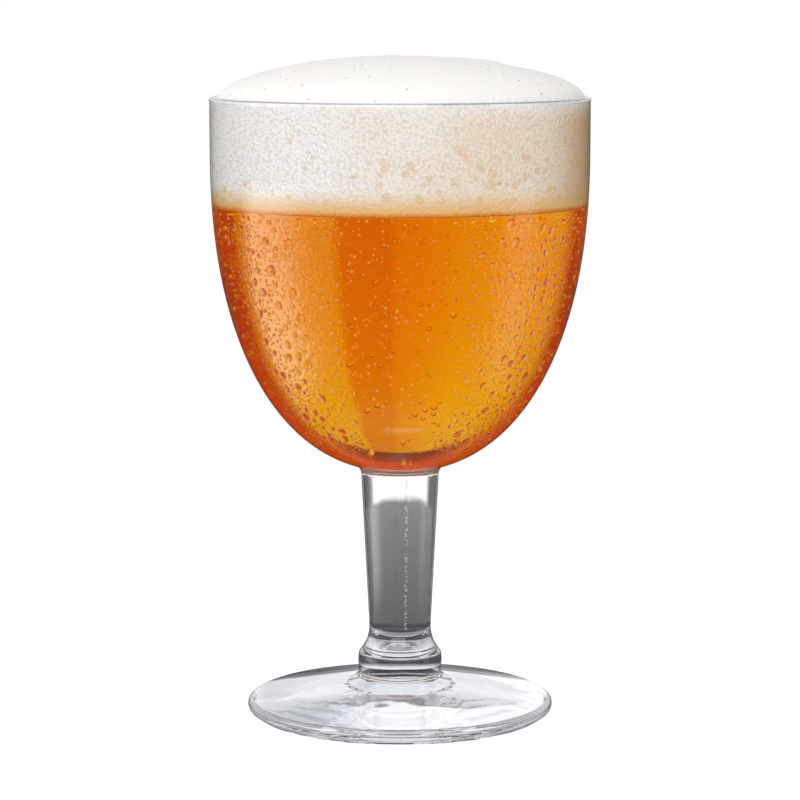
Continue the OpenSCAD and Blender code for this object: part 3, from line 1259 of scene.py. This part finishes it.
@dataclass
class Studio:
    """A white table and backdrop, soft boxes, and the camera at the photograph's angle."""

    camera_distance: float = 0.7237
    camera_height: float = 0.1738
    camera_pitch: float = 7.714
    lens: float = 137.3
    sensor: float = 36.0
    table_half: float = 3.0
    table_drop: float = 0.1 * MM
    # White under the foot, with a shade behind it and a blue-grey one on its left
    white_radius: float = 42 * MM
    white_level: float = 1.4
    shade_level: float = 0.3
    shade_span: Span = Span(18 * MM, 28 * MM)
    left_shade: float = 0.34
    left_spans: tuple[Span, Span] = (Span(-2 * MM, -24 * MM), Span(-38 * MM, -31 * MM))
    left_tone: Colour = (0.94, 0.97, 1.08, 1.0)
    # Grey card behind the stem, and the grey ring round the foot
    card_near: float = 50 * MM
    card_far: float = 470 * MM
    card_blur: float = 0.04
    card_squeeze: float = 0.77
    card_grey: tuple[float, float] = (0.06, 0.25)
    card_wedge: Span = Span(0.56, 0.66)
    ring_far: float = 140 * MM
    ring_blur: float = 0.1
    ring_front: Span = Span(-0.5, -0.2)
    # Flags left and right: where they start and end, and what is beside and on them
    flag_start: Span = Span(0.49, 0.64)
    flag_end: Span = Span(0.93, 0.89)
    flag_levels: tuple[float, float] = (1.2, 0.14)
    # What the shine on the glass shows of the table
    gloss_table: float = 0.02
    gloss_near: float = 0.2
    gloss_near_span: tuple[float, float] = (0.05, 0.08)
    gloss_under: float = 0.04
    gloss_under_span: Span = Span(-34 * MM, -26 * MM)
    left_card: tuple[Span, Span, Span] = (
        Span(-0.78, -0.74, 0.0, 0.2), Span(-0.62, -0.1, 0.0, 2.6), Span(0.38, 0.1))
    right_card: tuple[Span, Span] = (Span(-0.5, -0.3, 0.0, 0.9), Span(0.05, -0.15))
    cards_reach: tuple[Span, Span] = (Span(1.5, 0.9), Span(0.08, 0.15))
    # What the eye sees of the table
    eye_glow: float = 0.72
    eye_shade: str = "#BCBCBC"
    eye_fade: Span = Span(0.16, 0.4)
    # Backdrop behind the drink from the left flag to the right one, as sideways share and colour
    backdrop: tuple[tuple[float, tuple[float, float, float]], ...] = (
        (-0.93, (1.0, 1.1, 1.0)), (-0.89, (0.6, 0.16, 0.05)), (-0.74, (0.6, 0.16, 0.05)),
        (-0.6, (0.98, 1.2, 1.0)), (-0.35, (1.03, 1.4, 1.0)), (-0.16, (1.03, 1.32, 1.0)),
        (-0.06, (1.0, 1.05, 1.0)), (0.0, (0.98, 0.96, 1.0)), (0.03, (0.9, 0.74, 1.0)),
        (0.15, (0.9, 0.74, 1.0)), (0.18, (1.0, 1.25, 1.0)), (0.5, (1.0, 1.35, 1.0)),
        (0.65, (0.6, 0.16, 0.05)), (0.89, (0.6, 0.16, 0.05)), (0.93, (1.0, 1.1, 1.0)),
    )
    backdrop_climb: Span = Span(0.3, 0.8, 1.0, 0.8)
    backdrop_lamp: float = 0.48
    horizon: float = 0.03
    high_shade_card: Colour = (0.2, 0.1, 0.1, 1.0)
    high_card_climb: Span = Span(0.565, 0.595)
    high_card_aside: Span = Span(0.5, 0.36)
    bead_light: float = 0.55
    bead_tone: Colour = (1.0, 1.15, 1.0, 1.0)
    # Lamps, as name, place, width and height, and brightness as the glass shows it, 1 for white
    aim: tuple[float, float, float] = (0.0, 0.0, 0.1)
    lamps: tuple[tuple[str, tuple[float, float, float], tuple[float, float], float], ...] = (
        ("left_box", (-0.66, -0.1, 0.46), (0.6, 0.5), 1.9),
        ("right_strip", (0.66, -0.24, 0.46), (0.25, 0.5), 2.9),
        ("front_box", (-0.1, -0.9, 0.46), (0.9, 0.6), 3.0),
        ("top_box", (-0.05, -0.1, 0.95), (0.6, 0.6), 0.3),
    )

    def camera(self) -> None:
        """Set up the camera."""
        data = bpy.data.cameras.new("camera")
        data.lens = self.lens
        data.sensor_width = self.sensor
        camera = bpy.data.objects.new("camera", data)
        camera.location = (0.0, -self.camera_distance, self.camera_height)
        camera.rotation_euler = (math.radians(90 - self.camera_pitch), 0.0, 0.0)
        bpy.context.scene.collection.objects.link(camera)
        bpy.context.scene.camera = camera

    def wings(self, graph: Graph, point: Flow) -> Flow:
        """Stand flags to the left and the right, which draw the dark edges of a glass.

        Args:
            graph: graph of the table.
            point: point of the table.

        Returns:
            Brightness of the table between the flags and on them.
        """
        across, _, _ = graph.bearing(point)
        aside = graph.add("Math", [across], operation="ABSOLUTE")
        flag = graph.within(aside, self.flag_start, self.flag_end)
        return graph.add("MapRange", [flag, 0.0, 1.0, *self.flag_levels])

    def cards(self, graph: Graph, across: Flow, behind: Flow, away: Flow) -> Flow:
        """Lay a white card left of the drink and a smaller one right of it, for the shine on the bowl.

        Args:
            graph: graph of the table.
            across: how far right a point of the table lies.
            behind: share by which it lies behind the drink.
            away: its distance from the drink.

        Returns:
            Brightness of the table in the shine.
        """
        dim, bright, left_end = [
            graph.add("MapRange", [behind, *span], interpolation_type=EASED) for span in self.left_card]
        left = graph.all_of(graph.add("Math", [dim, bright], operation="ADD"), left_end)
        right = graph.within(behind, *self.right_card)
        on_right = graph.add("Math", [across, 0.0], operation="GREATER_THAN")
        card = graph.add("Mix", {0: on_right, 2: left, 3: right})
        plain_span = Span(*self.gloss_near_span, self.gloss_near, self.gloss_table)
        plain = graph.add("MapRange", [away, *plain_span], interpolation_type=EASED)
        within = graph.within(away, *self.cards_reach)
        return graph.add("Math", [card, within, plain], operation="MULTIPLY_ADD")

    def grey_card(self, graph: Graph, point: Flow, away: Flow, wedge: Flow, ring: Flow) -> Flow:
        """Lay a grey card that runs on behind the drink, with a grey ring round the white under the foot.

        Args:
            graph: graph of the table.
            point: point of the table.
            away: its distance from the drink.
            wedge: share by which it lies in the card's wedge.
            ring: share by which it lies on the ring's side and the ring shows.

        Returns:
            How much a point lies on the card or the ring.
        """
        squeezed = graph.add("VectorMath", [point, (self.card_squeeze, 1.0, 0.0)], operation="MULTIPLY")
        reach = graph.add("VectorMath", [squeezed], operation="LENGTH")
        round_foot, far = [
            graph.add("MapRange", [value, *span], interpolation_type=EASED)
            for value, span in ((away, blurred(self.ring_far, self.ring_blur)),
                                (reach, blurred(self.card_far, self.card_blur)))]
        spread = graph.add("Math", [wedge, graph.all_of(round_foot, ring)], operation="MAXIMUM")
        return graph.all_of(spread, far)

    def shown(self, graph: Graph, point: Flow, path: bpy.types.bpy_prop_collection) -> Flow:
        """What glass shows of the table: white underneath, then a grey ring, and a grey card behind.

        Args:
            graph: graph of the table.
            point: point of the table.
            path: outputs that tell which way light has come.

        Returns:
            Shader of the table as glass shows it.
        """
        away = graph.add("VectorMath", [point], operation="LENGTH")
        across, back, _ = graph.add("SeparateXYZ", [point]).outputs
        behind = graph.add("Math", [back, away], operation="DIVIDE")
        passed = path["Transmission Depth"]
        no_bead, dry, shallow, direct = [
            graph.add("Math", [passed, limit], operation="LESS_THAN")
            for limit in (THROUGH_BEAD, THROUGH_DRINK, THROUGH_STEM, NONE_YET)]
        wedge, beside, shade, low = [
            graph.add("MapRange", [value, *span], interpolation_type=EASED)
            for value, span in ((behind, self.card_wedge), (behind, self.ring_front), (back, self.shade_span),
                                (back, self.gloss_under_span))]
        # The drink doesn't show the ring
        near = graph.add("MapRange", [away, self.white_radius, self.card_near], interpolation_type=EASED)
        card = graph.all_of(near, self.grey_card(graph, point, away, wedge, graph.all_of(beside, dry)))
        grey = graph.add("MapRange", [away, self.card_near, self.card_far, *self.card_grey])

        # The left of the table under the foot lies in a blue-grey shade
        left = graph.within(across, *self.left_spans)
        shaded = graph.all_of(shade, wedge)
        white = graph.add("MapRange", [shaded, 0.0, 1.0, self.white_level, self.shade_level])
        under = graph.all_of(white, graph.add("MapRange", [left, 0.0, 1.0, 1.0, self.left_shade]))
        tone = graph.add("Mix", {0: left, 6: WHITE, 7: self.left_tone}, data_type="RGBA")

        # The shine on the underside of the bowl shows next to nothing of the table under the foot
        bounced = graph.add("Math", [path["Glossy Depth"], NONE_YET], operation="GREATER_THAN")
        straight = graph.add("Math", [1.0, path["Is Reflection Ray"]], operation="SUBTRACT")
        dimmed = graph.all_of(bounced, shallow, straight, low)
        below = graph.add("Mix", {0: dimmed, 2: under, 3: self.gloss_under})
        flagged = graph.add("Mix", {0: near, 2: below, 3: self.wings(graph, point)})
        level = graph.add("Mix", {0: card, 2: flagged, 3: grey})

        # Painted light: past a bead of water the table shows at least a set brightness, past card and flags
        gathered = graph.add("MapRange", [no_bead, 0.0, 1.0, self.bead_light, 0.0])
        strength = graph.add("Math", [level, gathered], operation="MAXIMUM")
        through = graph.add("Emission", {"Color": tone, "Strength": strength})
        mirrored = graph.add("Emission", {"Strength": self.cards(graph, across, behind, away)})
        shine = graph.all_of(path["Is Reflection Ray"], direct)
        return graph.add("MixShader", [shine, through, mirrored])

    def table(self) -> None:
        """Lay the table: white to the eye, with cards and flags that only glass shows."""
        mesh = bmesh.new()
        bmesh.ops.create_grid(mesh, x_segments=1, y_segments=1, size=self.table_half,
                              matrix=Matrix.Translation((0, 0, -self.table_drop)))
        material, graph = new_material("white_table")
        material.cycles.emission_sampling = "NONE"
        point = graph.add("TexCoord").outputs["Object"]
        path = graph.add("LightPath").outputs

        # What the eye sees of it: white, with the soft shadow of the drink
        glow = graph.add("Emission", {"Strength": self.eye_glow})
        lit = graph.add("AddShader", [glow, graph.add("BsdfDiffuse", {"Color": linear(self.eye_shade)})])
        away = graph.add("VectorMath", [point], operation="LENGTH")
        fade = graph.add("MapRange", [away, *self.eye_fade], interpolation_type=EASED)
        seen = graph.add("MixShader", [fade, lit, graph.add("Emission", {"Strength": 1.0})])
        surface = graph.add("MixShader", [path["Is Camera Ray"], self.shown(graph, point, path), seen])
        graph.add("OutputMaterial", {"Surface": surface})
        finished(mesh, "table", [material])

    def behind_drink(self, graph: Graph, way: Flow, passed: Flow) -> Flow:
        """Colour the backdrop for light that has passed through the drink, from flag to flag.

        Args:
            graph: graph of the backdrop.
            way: direction of a point of the backdrop.
            passed: number of surfaces that light has passed.

        Returns:
            Colour of the backdrop, white where light hasn't passed through the drink.
        """
        deep, beaded = [graph.add("Math", [passed, limit], operation="GREATER_THAN")
                        for limit in (THROUGH_DRINK, THROUGH_BEAD)]
        across, _, _ = graph.bearing(way)
        ramp = graph.add("ValToRGB", [graph.add("MapRange", [across, -1.0, 1.0])])
        stops = ramp.color_ramp.elements
        stops.remove(stops[1])
        for number, (aside, colour) in enumerate(self.backdrop):
            stop = stops.new((aside + 1) / 2) if number else stops[0]
            stop.position = (aside + 1) / 2
            stop.color = (*colour, 1.0)
        # Painted shade: a brown card, there only for light that has passed the drink, hangs high behind it
        # and draws the dark ellipse low in the bowl
        climb = graph.add("SeparateXYZ", [way]).outputs["Z"]
        high, middle = [
            graph.add("MapRange", [value, *span], interpolation_type=EASED)
            for value, span in ((climb, self.high_card_climb),
                                (graph.add("Math", [across], operation="ABSOLUTE"), self.high_card_aside))]
        colour = WHITE
        for share, shade in (
            (deep, ramp),
            (graph.all_of(deep, high, middle), self.high_shade_card),
            # Painted light: past a bead of water the backdrop turns light, past the flags
            (graph.all_of(beaded, self.bead_light), self.bead_tone),
        ):
            colour = graph.add("Mix", {0: share, 6: colour, 7: shade}, data_type="RGBA")
        return colour

    def world(self) -> None:
        """Hang the backdrop: white to the eye and in glass, dim as a lamp."""
        world = bpy.data.worlds.new("studio")
        world.cycles.sampling_method = "NONE"
        bpy.context.scene.world = world
        world.use_nodes = True
        world.node_tree.nodes.clear()
        graph = Graph(world.node_tree)
        path = graph.add("LightPath").outputs
        way = graph.add("TexCoord").outputs["Generated"]
        height = graph.add("SeparateXYZ", [way]).outputs["Z"]
        # Below the horizon the shine shows the table running on
        sky, climb = [graph.add("MapRange", [height, *span], interpolation_type=EASED)
                      for span in (Span(0.0, self.horizon, self.gloss_table), self.backdrop_climb)]
        level = graph.all_of(climb, graph.add("Mix", {0: path["Is Reflection Ray"], 2: 1.0, 3: sky}))
        colour = self.behind_drink(graph, way, path["Transmission Depth"])
        dim, in_glass, in_eye = [
            graph.add("Background", {"Color": shade, "Strength": strength})
            for shade, strength in ((WHITE, self.backdrop_lamp), (colour, level), (WHITE, 1.0))]
        glass_rays = [path["Is Glossy Ray"], path["Is Transmission Ray"]]
        by_glass = graph.add("Math", glass_rays, operation="MAXIMUM")
        on_pieces = graph.add("MixShader", [by_glass, dim, in_glass])
        surface = graph.add("MixShader", [path["Is Camera Ray"], on_pieces, in_eye])
        graph.add("OutputWorld", {"Surface": surface})

    def light(self) -> None:
        """Hang a large box on the left, a strip on the right, one over the front and one overhead."""
        for name, place, size, brightness in self.lamps:
            data = bpy.data.lights.new(name, "AREA")
            data.shape = "RECTANGLE"
            data.size, data.size_y = size
            data.energy = brightness * math.pi * size[0] * size[1]
            lamp = bpy.data.objects.new(name, data)
            lamp.location = place
            lamp.rotation_euler = (Vector(self.aim) - lamp.location).to_track_quat("-Z", "Y").to_euler()
            lamp.visible_camera = False
            lamp.visible_transmission = False
            bpy.context.scene.collection.objects.link(lamp)


def main() -> None:
    """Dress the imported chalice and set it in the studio."""
    logging.basicConfig(level=logging.INFO, format="%(name)s: %(message)s")
    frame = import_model()
    LOG.info("frame with nodes %s", ", ".join(sorted(frame["nodes"])))

    # Painted shade: the knop and the flats of the foot's recess are tinted greyer than the clear stem
    clear = SodaLimeGlass("soda_lime_glass", "#FBFDFC", "#4E4E52").material()
    thick = SodaLimeGlass("knop_glass_painted_shade", "#DADBDE", "#6A6A6E").material()
    pressed = SodaLimeGlass("pressed_soda_lime_glass", "#EFF1F5").material()
    chilled = SodaLimeGlass("recess_flats_painted_shade", "#A9AEB6").material()
    beer_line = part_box("beer")[1][2]
    misted = MistedGlass(beer_line).material()
    joint = FusedJoint().material()
    bowl = Bowl()
    glass = [
        Foot().build(pressed, joint, chilled),
        Knop().build(thick, joint),
        Stem().build(clear, joint, MouldSeam().material()),
        bowl.build(misted, joint, WETTED_GLASS.material(), POLISHED_RIM.material(),
                   CloudedFloor().material()),
        Condensation().build(bowl, DEW_WATER.material()),
    ]
    beer = Beer()
    liquid = beer.build(bowl, AmberBeer().material())
    # Light reaches the froth and the table through what is clear
    for piece in (*glass, liquid):
        piece.visible_shadow = False
    FoamHead().build(bowl, beer, CreamyFoam(beer_line, bowl.rim).material(), FrothUnderside().material())

    studio = Studio()
    studio.table()
    studio.world()
    studio.light()
    studio.camera()
    scene = bpy.context.scene
    scene.view_settings.view_transform = "Standard"
    scene.cycles.caustics_reflective = False
    # Light is led a long way round inside the foot
    scene.cycles.max_bounces = LIGHT_BOUNCES
    scene.cycles.transmission_bounces = LIGHT_BOUNCES
    scene.cycles.glossy_bounces = LIGHT_BOUNCES


if __name__ == "__main__":
    main()
